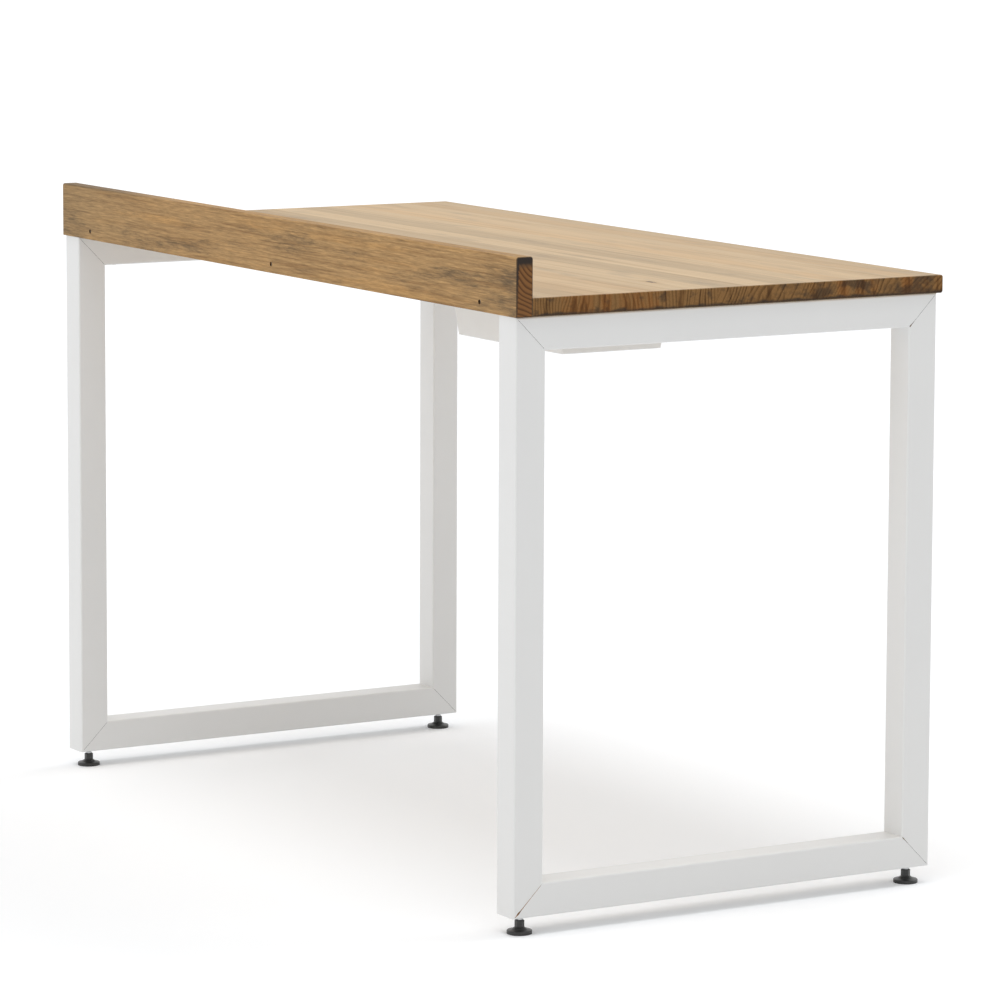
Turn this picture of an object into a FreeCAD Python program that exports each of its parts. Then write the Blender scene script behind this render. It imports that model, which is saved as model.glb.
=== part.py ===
import FreeCAD, Part

import math
import os
import re

import Sketcher

# A writing desk: a solid pine top with an upstand board along its rear edge, carried by two closed
# end frames of mitred square tube on levelling feet, with a small drawer hung under the top.
#
# Axes: X runs along the desk and +X is the user's right, +Y points to the rear, +Z points up.
# The origin lies on the floor under the middle of the desk. Millimetres throughout.

DIMENSIONS = {
    # Overall
    "desk_length": 1200.0,
    "desk_depth": 600.0,
    "worktop_height": 750.0,
    # Timber
    "top_thickness": 22.0,
    "top_front_radius": 3.0,
    "top_end_chamfer": 0.8,
    "board_height": 70.0,
    "board_thickness": 22.0,
    "board_top_radius": 3.0,
    "board_end_chamfer": 0.8,
    # End frames
    "tube_size": 40.0,
    "tube_wall": 2.0,
    "tube_outer_radius": 2.5,
    "tube_inner_radius": 0.8,
    "end_overhang": 4.0,
    "front_overhang": 6.0,
    "rear_overhang": 2.0,
    "mitre_margin": 5.0,
    # Levelling feet
    "foot_height": 22.0,
    "foot_pad_diameter": 30.0,
    "foot_pad_rim_height": 4.2,
    "foot_pad_rim_chamfer": 0.6,
    "foot_shoulder_diameter": 19.0,
    "foot_shoulder_height": 5.3,
    "foot_collar_diameter": 13.0,
    "foot_collar_height": 7.4,
    "foot_socket_floor": 2.0,
    "foot_journal_diameter": 8.8,
    "foot_hex_across_flats": 10.0,
    "foot_hex_gap": 0.3,
    "foot_hex_height": 8.8,
    "foot_hex_chamfer": 0.7,
    "foot_stud_diameter": 8.0,
    "foot_stud_length": 25.0,
    "foot_stud_seat_depth": 7.0,
    "foot_stud_chamfer": 1.0,
    "running_clearance": 0.05,
    # Threaded inserts in the bottom bars
    "insert_flange_diameter": 14.0,
    "insert_flange_thickness": 1.5,
    "insert_body_diameter": 11.0,
    "insert_body_length": 14.0,
    "seat_clearance": 0.05,
    # Screws that hold the top on the end frames
    "top_screw_inset": 62.0,
    "top_screw_diameter": 5.0,
    "top_screw_bite": 15.0,
    "top_screw_head_diameter": 9.0,
    "top_screw_head_height": 2.0,
    "bar_hole_clearance": 0.25,
    "pilot_extra_depth": 1.0,
    # Screws through the upstand board into the rear edge of the top
    "board_screw_end_inset": 84.0,
    "board_screw_diameter": 4.0,
    "board_screw_head_diameter": 5.8,
    "board_screw_head_height": 1.8,
    "board_screw_recess": 1.2,
    "board_screw_bite": 24.0,
    # Drawer
    "drawer_centre_y": -122.0,
    "drawer_width": 285.0,
    "drawer_depth": 174.0,
    "drawer_height": 107.5,
    "drawer_draft": 6.5,
    "drawer_wall": 2.5,
    "drawer_edge_radius": 2.0,
    "drawer_rim_thickness": 3.0,
    "drawer_rim_width": 10.0,
    "drawer_rim_gap": 1.5,
    "drawer_front_lip": 12.0,
    "drawer_lip_radius": 9.0,
    "drawer_shoulder_width": 3.0,
    "drawer_shoulder_length": 60.0,
    # Runners that carry the drawer's rim
    "runner_sheet": 1.5,
    "runner_side_clearance": 1.0,
    "runner_lip_width": 12.0,
    "runner_flange_width": 17.0,
    "runner_length": 250.0,
    "runner_stop_length": 5.0,
    "runner_screw_end_inset": 28.0,
    "runner_screw_diameter": 3.5,
    "runner_screw_bite": 12.0,
    "runner_screw_head_diameter": 7.0,
    "runner_screw_head_height": 1.8,
}

SHEET = "Dimensions"

# Formulas of those names that several pieces share.
FRAME_DEPTH = "(desk_depth - front_overhang - rear_overhang)"
FRAME_HEIGHT = "(worktop_height - top_thickness - foot_height)"
TOP_DEPTH = "(desk_depth - board_thickness)"
TOP_UNDERSIDE = "(worktop_height - top_thickness)"
TUBE_CENTRE_X = "(desk_length / 2 - end_overhang - tube_size / 2)"
FRAME_REAR_Y = "(desk_depth / 2 - rear_overhang)"
FRAME_FRONT_Y = "(front_overhang - desk_depth / 2)"
BORE_DIAMETER = "(foot_stud_diameter + 2 * running_clearance)"
HEX_BOTTOM = "(foot_collar_height + foot_hex_gap)"
HEX_TOP = "(foot_collar_height + foot_hex_gap + foot_hex_height)"
RUNNER_WEB_X = "(drawer_width / 2 + drawer_rim_width + drawer_shoulder_width + runner_side_clearance)"
RUNNER_REAR_Y = "(drawer_centre_y + drawer_depth / 2)"
RUNNER_DROP = "(drawer_rim_gap + drawer_rim_thickness + runner_sheet)"
RUNNER_SCREW_X = "(" + RUNNER_WEB_X + " + runner_sheet + runner_flange_width / 2)"
RUNNER_SCREW_SPACING = "(runner_length - 2 * runner_screw_end_inset)"
BOARD_SCREW_Z = "(top_thickness / 2)"
BOARD_SCREW_SPACING = "(desk_length - 2 * board_screw_end_inset)"

# Sides of the desk as the user sees them, with the sign of X or Y that each lies on.
SIDES = {"left": -1, "right": 1}
ENDS = {"front": -1, "rear": 1}

TOLERANCE = 0.001

X_AXIS = FreeCAD.Vector(1, 0, 0)
Y_AXIS = FreeCAD.Vector(0, 1, 0)
Z_AXIS = FreeCAD.Vector(0, 0, 1)

document = FreeCAD.newDocument("writing_desk")


def cells(formula):
    """Return the formula with each dimension's name written as its cell in the sheet."""
    return re.sub(r"\b[a-z][a-z_]*_[a-z_]+\b", lambda name: SHEET + "." + name.group(), formula)


def make_sheet():
    """Write each dimension's name and value in a row of the sheet, with the name as alias."""
    sheet = document.addObject("Spreadsheet::Sheet", SHEET)
    for row, (name, value) in enumerate(DIMENSIONS.items(), start=1):
        sheet.set(f"A{row}", name)
        sheet.set(f"B{row}", str(value))
        sheet.setAlias(f"B{row}", name)
    document.recompute()


def make_body(label, several_solids=False):
    """Start a sub-part. Its label names its file."""
    body = document.addObject("PartDesign::Body", label)
    body.Label = label
    body.AllowCompound = several_solids
    return body


def origin_feature(body, role):
    """Return one of the body's own origin planes or axes."""
    return next(item for item in body.Origin.OriginFeatures if item.Role == role)


def make_sketch(body, name, plane):
    """Start a sketch on one of the body's origin planes."""
    sketch = body.newObject("Sketcher::SketchObject", name)
    sketch.AttachmentSupport = [(origin_feature(body, plane), "")]
    sketch.MapMode = "FlatFace"
    return sketch


def dimension(sketch, kind, places, formula):
    """Add a dimension to the sketch and bind it to the formula."""
    index = sketch.addConstraint(Sketcher.Constraint(kind, *places, 1.0))
    sketch.setExpression(f"Constraints[{index}]", cells(formula))


def draw_polygon(sketch, corners):
    """Draw a closed outline whose corners are pairs of formulas, measured from the sketch's origin."""
    first = sketch.GeometryCount
    count = len(corners)
    step = 2 * math.pi / count
    around = [FreeCAD.Vector(math.cos(turn * step), math.sin(turn * step), 0) for turn in range(count)]
    for turn in range(count):
        sketch.addGeometry(Part.LineSegment(around[turn], around[(turn + 1) % count]), False)
    for turn in range(count):
        after = first + (turn + 1) % count
        sketch.addConstraint(Sketcher.Constraint("Coincident", first + turn, 2, after, 1))
    for turn, (across, up) in enumerate(corners):
        dimension(sketch, "DistanceX", (-1, 1, first + turn, 1), across)
        dimension(sketch, "DistanceY", (-1, 1, first + turn, 1), up)


def draw_rectangle(sketch, left, right, bottom, top):
    """Draw a rectangle between four formulas."""
    draw_polygon(sketch, [(left, bottom), (right, bottom), (right, top), (left, top)])


def draw_centred_rectangle(sketch, width, height):
    """Draw a rectangle about the sketch's origin."""
    draw_rectangle(sketch, f"-{width} / 2", f"{width} / 2", f"-{height} / 2", f"{height} / 2")


def draw_rounded_rectangle(sketch, width, height, radius):
    """Draw a rectangle with rounded corners about the sketch's origin."""
    first = sketch.GeometryCount
    signs = [(1, 1), (-1, 1), (-1, -1), (1, -1)]
    for turn, (right, up) in enumerate(signs):
        circle = Part.Circle(FreeCAD.Vector(2 * right, 2 * up, 0), Z_AXIS, 1)
        sketch.addGeometry(Part.ArcOfCircle(circle, turn * math.pi / 2, (turn + 1) * math.pi / 2), False)
    for turn in range(4):
        start = sketch.Geometry[first + turn].EndPoint
        end = sketch.Geometry[first + (turn + 1) % 4].StartPoint
        line = sketch.addGeometry(Part.LineSegment(start, end), False)
        sketch.addConstraint(Sketcher.Constraint("Tangent", first + turn, 2, line, 1))
        sketch.addConstraint(Sketcher.Constraint("Tangent", line, 2, first + (turn + 1) % 4, 1))
    for turn, (right, up) in enumerate(signs):
        dimension(sketch, "DistanceX", (-1, 1, first + turn, 3), f"{right} * ({width} / 2 - {radius})")
        dimension(sketch, "DistanceY", (-1, 1, first + turn, 3), f"{up} * ({height} / 2 - {radius})")
        dimension(sketch, "Radius", (first + turn,), radius)


def draw_circle(sketch, across, up, diameter):
    """Draw a circle whose centre and diameter are formulas."""
    index = sketch.GeometryCount
    sketch.addGeometry(Part.Circle(FreeCAD.Vector(0, 0, 0), Z_AXIS, 1), False)
    dimension(sketch, "DistanceX", (-1, 1, index, 3), across)
    dimension(sketch, "DistanceY", (-1, 1, index, 3), up)
    dimension(sketch, "Diameter", (index,), diameter)


def finish_feature(body, feature, grows):
    """Recompute, and stop if the feature failed, or if its solid didn't grow or shrink as it should."""
    before = feature.BaseFeature.Shape.Volume if feature.BaseFeature else 0.0
    document.recompute()
    added = feature.Shape.Volume - before
    if "Invalid" in feature.State or "Error" in feature.State or added == 0 or (added > 0) != grows:
        raise RuntimeError(f"{body.Label}: {feature.Name} changed the volume by {added}")
    return feature


def make_pad(body, name, sketch, length, backwards=False, midplane=False):
    """Raise a sketch into a solid."""
    pad = body.newObject("PartDesign::Pad", name)
    pad.Profile = sketch
    pad.setExpression("Length", cells(length))
    pad.Reversed = backwards
    pad.Midplane = midplane
    return finish_feature(body, pad, grows=True)


def make_pocket(body, name, sketch, length, backwards=False, midplane=False):
    """Cut a sketch out of the solid, behind the sketch's plane unless it is backwards."""
    pocket = body.newObject("PartDesign::Pocket", name)
    pocket.Profile = sketch
    pocket.setExpression("Length", cells(length))
    pocket.Reversed = backwards
    pocket.Midplane = midplane
    return finish_feature(body, pocket, grows=False)


def make_turned(body, name, corners, cut=False):
    """Turn an outline of radius and height about the body's Z axis, as a solid or as a cut."""
    sketch = make_sketch(body, name + "_outline", "XZ_Plane")
    draw_polygon(sketch, corners)
    turned = body.newObject("PartDesign::Groove" if cut else "PartDesign::Revolution", name)
    turned.Profile = sketch
    turned.ReferenceAxis = (origin_feature(body, "Z_Axis"), [""])
    turned.Angle = 360
    return finish_feature(body, turned, grows=not cut)


def runs_along(edge, axis):
    """Say whether an edge is straight and parallel to an axis."""
    across = edge.Vertexes[-1].Point - edge.Vertexes[0].Point
    return across.Length > TOLERANCE and abs(abs(across.dot(axis)) - edge.Length) < TOLERANCE


def named_edges(feature, wanted):
    """Return the names of the feature's edges that the test wants."""
    edges = enumerate(feature.Shape.Edges, start=1)
    return [f"Edge{number}" for number, edge in edges if wanted(edge)]


def make_fillet(body, name, base, wanted, radius):
    """Round the wanted edges of the last feature."""
    fillet = body.newObject("PartDesign::Fillet", name)
    fillet.Base = (base, named_edges(base, wanted))
    fillet.setExpression("Radius", cells(radius))
    document.recompute()
    if "Invalid" in fillet.State or "Error" in fillet.State:
        raise RuntimeError(f"{body.Label}: {name} failed")
    return fillet


def make_chamfer(body, name, base, wanted, size):
    """Bevel the wanted edges of the last feature."""
    chamfer = body.newObject("PartDesign::Chamfer", name)
    chamfer.Base = (base, named_edges(base, wanted))
    chamfer.setExpression("Size", cells(size))
    document.recompute()
    if "Invalid" in chamfer.State or "Error" in chamfer.State:
        raise RuntimeError(f"{body.Label}: {name} failed")
    return chamfer


def named_faces(feature, wanted):
    """Return the names of the feature's faces that the test wants."""
    faces = enumerate(feature.Shape.Faces, start=1)
    return [f"Face{number}" for number, face in faces if wanted(face)]


def make_draft(body, name, base, angle):
    """Lean the upright faces of the last feature inwards below the body's XY plane."""

    def is_upright(face):
        return max(vertex.Z for vertex in face.Vertexes) - min(vertex.Z for vertex in face.Vertexes) > TOLERANCE

    draft = body.newObject("PartDesign::Draft", name)
    draft.Base = (base, named_faces(base, is_upright))
    draft.NeutralPlane = (origin_feature(body, "XY_Plane"), [""])
    draft.setExpression("Angle", cells(angle))
    draft.Reversed = True
    return finish_feature(body, draft, grows=False)


def make_shell(body, name, base, wall):
    """Hollow out the last feature through its upper face, and leave a wall inside its faces."""
    highest = max(vertex.Z for vertex in base.Shape.Vertexes) - TOLERANCE

    def is_mouth(face):
        return min(vertex.Z for vertex in face.Vertexes) > highest

    shell = body.newObject("PartDesign::Thickness", name)
    shell.Base = (base, named_faces(base, is_mouth))
    shell.setExpression("Value", cells(wall))
    shell.Reversed = True
    return finish_feature(body, shell, grows=False)


def make_grid(body, feature, across, up=None):
    """Repeat a feature along X, and along Y where the second is given, about the place of the first.

    Each is a pair: the formula of the whole length, and how many stand along it.
    """
    grid = body.newObject("PartDesign::MultiTransform", feature.Name + "_grid")
    grid.Originals = [feature]
    rows = []
    for axis, run in (("X_Axis", across), ("Y_Axis", up)):
        if run is None:
            continue
        row = body.newObject("PartDesign::LinearPattern", f"{feature.Name}_{axis}")
        row.Direction = (origin_feature(body, axis), [""])
        row.setExpression("Length", cells(run[0]))
        row.Occurrences = run[1]
        rows.append(row)
    grid.Transformations = rows
    body.Tip = grid
    document.recompute()


def place(body, x, y, z, rotation=FreeCAD.Rotation()):
    """Put the body's own origin at three formulas, turned by the rotation."""
    body.Placement = FreeCAD.Placement(FreeCAD.Vector(0, 0, 0), rotation)
    for axis, formula in (("x", x), ("y", y), ("z", z)):
        body.setExpression(f"Placement.Base.{axis}", cells(formula))


def turned_to(x_axis, z_axis):
    """Return the rotation that lays a piece's own X and Z along the given directions."""
    return FreeCAD.Rotation(x_axis, z_axis.cross(x_axis), z_axis, "ZXY")


# End frames. A tube lies along its own Z from its outer corner, with the frame's window on its own +X
# side, and both its ends are cut at 45 degrees to meet the next tube.


def make_tube(label, length):
    """Make a hollow square tube with mitred ends, and return its body."""
    body = make_body(label)
    section = make_sketch(body, "section", "XY_Plane")
    draw_centred_rectangle(section, "tube_size", "tube_size")
    draw_centred_rectangle(section, "(tube_size - 2 * tube_wall)", "(tube_size - 2 * tube_wall)")
    tube = make_pad(body, "tube", section, length)
    reach = tube.Shape.BoundBox.XMax - TOLERANCE

    def is_inner(edge):
        return runs_along(edge, Z_AXIS) and abs(edge.Vertexes[0].X) < reach

    def is_outer(edge):
        return runs_along(edge, Z_AXIS) and min(abs(edge.Vertexes[0].X), abs(edge.Vertexes[0].Y)) > reach

    hollow = make_fillet(body, "inner_corners", tube, is_inner, "tube_inner_radius")
    make_fillet(body, "outer_corners", hollow, is_outer, "tube_outer_radius")
    mitres = make_sketch(body, "mitres", "XZ_Plane")
    outside = "(-tube_size / 2 - mitre_margin)"
    inside = "(tube_size / 2 + mitre_margin)"
    cut_depth = "(tube_size + mitre_margin)"
    near_end = "(-mitre_margin)"
    far_end = f"({length} + mitre_margin)"
    draw_polygon(mitres, [(outside, near_end), (inside, near_end), (inside, cut_depth)])
    draw_polygon(mitres, [(outside, far_end), (inside, far_end), (inside, f"({length} - {cut_depth})")])
    make_pocket(body, "mitre_cuts", mitres, "2 * tube_size", midplane=True)
    return body


def make_upright(label, side, end):
    """Make a leg tube, with its inner side towards the frame's window."""
    body = make_tube(label, FRAME_HEIGHT)
    edge_y = FRAME_FRONT_Y if end < 0 else FRAME_REAR_Y
    turn = turned_to(Y_AXIS * -end, Z_AXIS)
    place(body, f"{side} * {TUBE_CENTRE_X}", f"{edge_y} - {end} * tube_size / 2", "foot_height", turn)


def make_bottom_bar(label, side):
    """Make a floor bar, with a hole in its lower wall under each leg for a foot's insert."""
    body = make_tube(label, FRAME_DEPTH)
    holes = make_sketch(body, "insert_holes", "YZ_Plane")
    for along in ("tube_size / 2", f"{FRAME_DEPTH} - tube_size / 2"):
        draw_circle(holes, "0", along, "insert_body_diameter + 2 * seat_clearance")
    make_pocket(body, "insert_hole_cuts", holes, "tube_size")
    turn = turned_to(Z_AXIS, Y_AXIS)
    place(body, f"{side} * {TUBE_CENTRE_X}", FRAME_FRONT_Y, "foot_height + tube_size / 2", turn)


def make_top_bar(label, side):
    """Make the bar under the top, drilled through both walls for the screws that hold the top."""
    body = make_tube(label, FRAME_DEPTH)
    holes = make_sketch(body, "screw_holes", "YZ_Plane")
    for along in ("top_screw_inset", f"{FRAME_DEPTH} - top_screw_inset"):
        draw_circle(holes, "0", along, "top_screw_diameter + 2 * bar_hole_clearance")
    make_pocket(body, "screw_hole_cuts", holes, "2 * tube_size", midplane=True)
    turn = turned_to(-Z_AXIS, Y_AXIS)
    place(body, f"{side} * {TUBE_CENTRE_X}", FRAME_FRONT_Y, f"{TOP_UNDERSIDE} - tube_size / 2", turn)


def make_end_frames():
    """Make the two closed end frames, four tubes each."""
    for side_name, side in SIDES.items():
        for end_name, end in ENDS.items():
            make_upright(f"{side_name}_{end_name}_upright", side, end)
        make_bottom_bar(f"{side_name}_bottom_bar", side)
        make_top_bar(f"{side_name}_top_bar", side)


# Timber. The top's own origin is the middle of its underside, and the board's is the middle of the
# lower edge of its rear face.


def make_top_panel():
    """Make the top: rounded front, bevelled ends, square rear edge, and pilot holes for its screws."""
    body = make_body("top_panel")
    outline = make_sketch(body, "outline", "XY_Plane")
    draw_centred_rectangle(outline, "desk_length", TOP_DEPTH)
    slab = make_pad(body, "slab", outline, "top_thickness")
    front = slab.Shape.BoundBox.YMin + TOLERANCE
    end = slab.Shape.BoundBox.XMax - TOLERANCE

    def is_front(edge):
        return runs_along(edge, X_AXIS) and edge.Vertexes[0].Y < front

    def is_end(edge):
        return runs_along(edge, Y_AXIS) and abs(edge.Vertexes[0].X) > end

    rounded = make_fillet(body, "front_edges", slab, is_front, "top_front_radius")
    make_chamfer(body, "end_edges", rounded, is_end, "top_end_chamfer")
    below = make_sketch(body, "frame_pilots", "XY_Plane")
    top_centre_y = "(-board_thickness / 2)"
    for side in SIDES.values():
        for row_y in (f"{FRAME_FRONT_Y} + top_screw_inset", f"{FRAME_REAR_Y} - top_screw_inset"):
            place_y = f"{row_y} - {top_centre_y}"
            draw_circle(below, f"{side} * {TUBE_CENTRE_X}", place_y, "top_screw_diameter + 2 * seat_clearance")
    make_pocket(body, "frame_pilot_cuts", below, "top_screw_bite + pilot_extra_depth", backwards=True)
    runner = make_sketch(body, "runner_pilots", "XY_Plane")
    for side in SIDES.values():
        for along in ("runner_screw_end_inset", "(runner_length - runner_screw_end_inset)"):
            place_y = f"{RUNNER_REAR_Y} - {along} - {top_centre_y}"
            width = "runner_screw_diameter + 2 * seat_clearance"
            draw_circle(runner, f"{side} * {RUNNER_SCREW_X}", place_y, width)
    make_pocket(body, "runner_pilot_cuts", runner, "runner_screw_bite + pilot_extra_depth", backwards=True)
    rear = make_sketch(body, "board_pilots", "XZ_Plane")
    rear.setExpression("AttachmentOffset.Base.z", cells(f"-{TOP_DEPTH} / 2"))
    for place_x in (f"-{BOARD_SCREW_SPACING} / 2", "0", f"{BOARD_SCREW_SPACING} / 2"):
        draw_circle(rear, place_x, BOARD_SCREW_Z, "board_screw_diameter + 2 * seat_clearance")
    make_pocket(body, "board_pilot_cuts", rear, "board_screw_bite + pilot_extra_depth", backwards=True)
    place(body, "0", top_centre_y, TOP_UNDERSIDE)


def make_rear_board():
    """Make the upstand board: rounded upper edges, bevelled ends and counterbored screw holes."""
    body = make_body("rear_board")
    section = make_sketch(body, "section", "YZ_Plane")
    draw_rectangle(section, "-board_thickness", "0", "0", "board_height")
    plank = make_pad(body, "plank", section, "desk_length", midplane=True)
    top = plank.Shape.BoundBox.ZMax - TOLERANCE
    end = plank.Shape.BoundBox.XMax - TOLERANCE

    def is_upper(edge):
        return runs_along(edge, X_AXIS) and edge.Vertexes[0].Z > top

    def is_end(edge):
        return abs(edge.CenterOfMass.x) > end and not runs_along(edge, X_AXIS)

    rounded = make_fillet(body, "upper_edges", plank, is_upper, "board_top_radius")
    make_chamfer(body, "end_edges", rounded, is_end, "board_end_chamfer")
    for name, diameter, depth in (
        ("screw_holes", "board_screw_diameter + 2 * seat_clearance", "2 * board_thickness"),
        (
            "screw_recesses",
            "board_screw_head_diameter + 2 * seat_clearance",
            "board_screw_recess + board_screw_head_height",
        ),
    ):
        holes = make_sketch(body, name, "XZ_Plane")
        for place_x in (f"-{BOARD_SCREW_SPACING} / 2", "0", f"{BOARD_SCREW_SPACING} / 2"):
            draw_circle(holes, place_x, BOARD_SCREW_Z, diameter)
        make_pocket(body, name + "_cut", holes, depth, backwards=True)
    place(body, "0", "desk_depth / 2", TOP_UNDERSIDE)


# Screws. Each is turned about its own Z, with the underside of its head at 0 and its point upwards.


def make_screw(label, length):
    """Make one screw with the sizes that its label's name begins, and return body and feature."""
    name = label.removesuffix("s")
    body = make_body(label, several_solids=True)
    head_radius = f"({name}_head_diameter / 2)"
    shank_radius = f"({name}_diameter / 2)"
    corners = [
        ("0", f"-{name}_head_height"),
        (head_radius, f"-{name}_head_height"),
        (head_radius, "0"),
        (shank_radius, "0"),
        (shank_radius, length),
        ("0", length),
    ]
    return body, make_turned(body, "screw", corners)


def make_top_screws():
    """Make the four screws that run up through the top bars into the top."""
    body, screw = make_screw("top_screws", "(tube_size + top_screw_bite)")
    make_grid(body, screw, (f"2 * {TUBE_CENTRE_X}", 2), (f"{FRAME_DEPTH} - 2 * top_screw_inset", 2))
    head_seat = f"{TOP_UNDERSIDE} - tube_size"
    place(body, f"-{TUBE_CENTRE_X}", f"{FRAME_FRONT_Y} + top_screw_inset", head_seat)


def make_board_screws():
    """Make the three sunk screws that hold the board against the rear edge of the top."""
    sunk = "(board_screw_recess + board_screw_head_height)"
    body, screw = make_screw("board_screws", f"(board_thickness - {sunk} + board_screw_bite)")
    make_grid(body, screw, (BOARD_SCREW_SPACING, 3))
    turn = turned_to(X_AXIS, -Y_AXIS)
    seat_z = f"{TOP_UNDERSIDE} + {BOARD_SCREW_Z}"
    place(body, f"-{BOARD_SCREW_SPACING} / 2", f"desk_depth / 2 - {sunk}", seat_z, turn)


def make_runner_screws():
    """Make the four short screws that hold the drawer's runners under the top."""
    body, screw = make_screw("runner_screws", "(runner_sheet + runner_screw_bite)")
    make_grid(body, screw, (f"2 * {RUNNER_SCREW_X}", 2), (RUNNER_SCREW_SPACING, 2))
    first_y = f"{RUNNER_REAR_Y} - runner_length + runner_screw_end_inset"
    place(body, f"-{RUNNER_SCREW_X}", first_y, f"{TOP_UNDERSIDE} - runner_sheet")


# Levelling feet. A foot's pad turns on the lower end of a hexagon for a spanner, and the stud that the
# hexagon holds screws into an insert in the bottom bar. All but the insert are measured up from the
# floor under the foot.


def make_foot_pad(label, x, y):
    """Make the round pad: a flat disc, a sloping shoulder, a collar and the spindle's socket."""
    body = make_body(label)
    socket_radius = "(foot_journal_diameter / 2 + running_clearance)"
    rim = "(foot_pad_diameter / 2)"
    corners = [
        ("0", "0"),
        (rim, "0"),
        (rim, "foot_pad_rim_height - foot_pad_rim_chamfer"),
        (f"{rim} - foot_pad_rim_chamfer", "foot_pad_rim_height"),
        ("foot_shoulder_diameter / 2", "foot_shoulder_height"),
        ("foot_collar_diameter / 2", "foot_collar_height"),
        (socket_radius, "foot_collar_height"),
        (socket_radius, "foot_socket_floor"),
        ("0", "foot_socket_floor"),
    ]
    make_turned(body, "disc", corners)
    place(body, x, y, "0")


def make_foot_hexagon(label, x, y):
    """Make the hexagon: bevelled above, with a journal in the pad and a blind seat for the stud."""
    body = make_body(label)
    journal = "(foot_journal_diameter / 2)"
    below = [("0", "foot_socket_floor"), (journal, "foot_socket_floor"), (journal, HEX_BOTTOM), ("0", HEX_BOTTOM)]
    make_turned(body, "journal", below)
    flats = make_sketch(body, "flats", "XY_Plane")
    flats.setExpression("AttachmentOffset.Base.z", cells(HEX_BOTTOM))
    corner = "(foot_hex_across_flats / sqrt(3))"
    flat = "(foot_hex_across_flats / 2)"
    corners = [
        (corner, "0"),
        (f"{corner} / 2", flat),
        (f"-{corner} / 2", flat),
        (f"-{corner}", "0"),
        (f"-{corner} / 2", f"-{flat}"),
        (f"{corner} / 2", f"-{flat}"),
    ]
    draw_polygon(flats, corners)
    make_pad(body, "hexagon", flats, "foot_hex_height")
    inner = f"({flat} - foot_hex_chamfer)"
    outer = f"({corner} + foot_hex_chamfer)"
    fall = f"(({outer} - {inner}) / sqrt(3))"
    bevel = [(inner, HEX_TOP), (outer, HEX_TOP), (outer, f"{HEX_TOP} - {fall}")]
    make_turned(body, "bevel", bevel, cut=True)
    seat = "(foot_stud_diameter / 2 + seat_clearance)"
    seat_floor = f"({HEX_TOP} - foot_stud_seat_depth)"
    bore = [("0", seat_floor), (seat, seat_floor), (seat, HEX_TOP), ("0", HEX_TOP)]
    make_turned(body, "stud_seat", bore, cut=True)
    place(body, x, y, "0")


def make_foot_stud(label, x, y):
    """Make the stud, with its upper end chamfered."""
    body = make_body(label)
    radius = "(foot_stud_diameter / 2)"
    narrow = f"({radius} - foot_stud_chamfer)"
    start = f"({HEX_TOP} - foot_stud_seat_depth)"
    tip = f"({HEX_TOP} + foot_stud_length)"
    corners = [
        ("0", start),
        (radius, start),
        (radius, f"{tip} - foot_stud_chamfer"),
        (narrow, tip),
        ("0", tip),
    ]
    make_turned(body, "stud", corners)
    place(body, x, y, "0")


def make_foot_insert(label, x, y):
    """Make the flanged insert that stands in the bottom bar's lower wall and takes the thread."""
    body = make_body(label)
    bore = f"({BORE_DIAMETER} / 2)"
    corners = [
        (bore, "-insert_flange_thickness"),
        ("insert_flange_diameter / 2", "-insert_flange_thickness"),
        ("insert_flange_diameter / 2", "0"),
        ("insert_body_diameter / 2", "0"),
        ("insert_body_diameter / 2", "insert_body_length"),
        (bore, "insert_body_length"),
    ]
    make_turned(body, "sleeve", corners)
    place(body, x, y, "foot_height")


def make_feet():
    """Make a foot under each leg."""
    for side_name, side in SIDES.items():
        for end_name, end in ENDS.items():
            x = f"{side} * {TUBE_CENTRE_X}"
            edge_y = FRAME_FRONT_Y if end < 0 else FRAME_REAR_Y
            y = f"{edge_y} - {end} * tube_size / 2"
            make_foot_pad(f"{side_name}_{end_name}_foot_pad", x, y)
            make_foot_hexagon(f"{side_name}_{end_name}_foot_hexagon", x, y)
            make_foot_stud(f"{side_name}_{end_name}_foot_stud", x, y)
            make_foot_insert(f"{side_name}_{end_name}_foot_insert", x, y)


# Drawer. Its own origin is the middle of its upper opening, and it hangs below that. Its rim slides on
# the runners' lips, and shoulders on the rim meet the runners' stops when it is open.


def make_drawer_tray():
    """Make the moulded tray, with drafted walls, rounded corners, a rim and a lip to pull it by."""
    body = make_body("drawer_tray")
    outline = make_sketch(body, "outline", "XY_Plane")
    draw_centred_rectangle(outline, "drawer_width", "drawer_depth")
    block = make_pad(body, "block", outline, "drawer_height", backwards=True)
    drafted = make_draft(body, "draft", block, "drawer_draft")

    def leaves_mouth(edge):
        return min(vertex.Z for vertex in edge.Vertexes) < -TOLERANCE

    hollow = make_shell(body, "hollow", drafted, "drawer_wall")
    make_fillet(body, "rounding", hollow, leaves_mouth, "drawer_edge_radius")
    add_drawer_rim(body)
    place(body, "0", "drawer_centre_y", f"{TOP_UNDERSIDE} - drawer_rim_gap")


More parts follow.
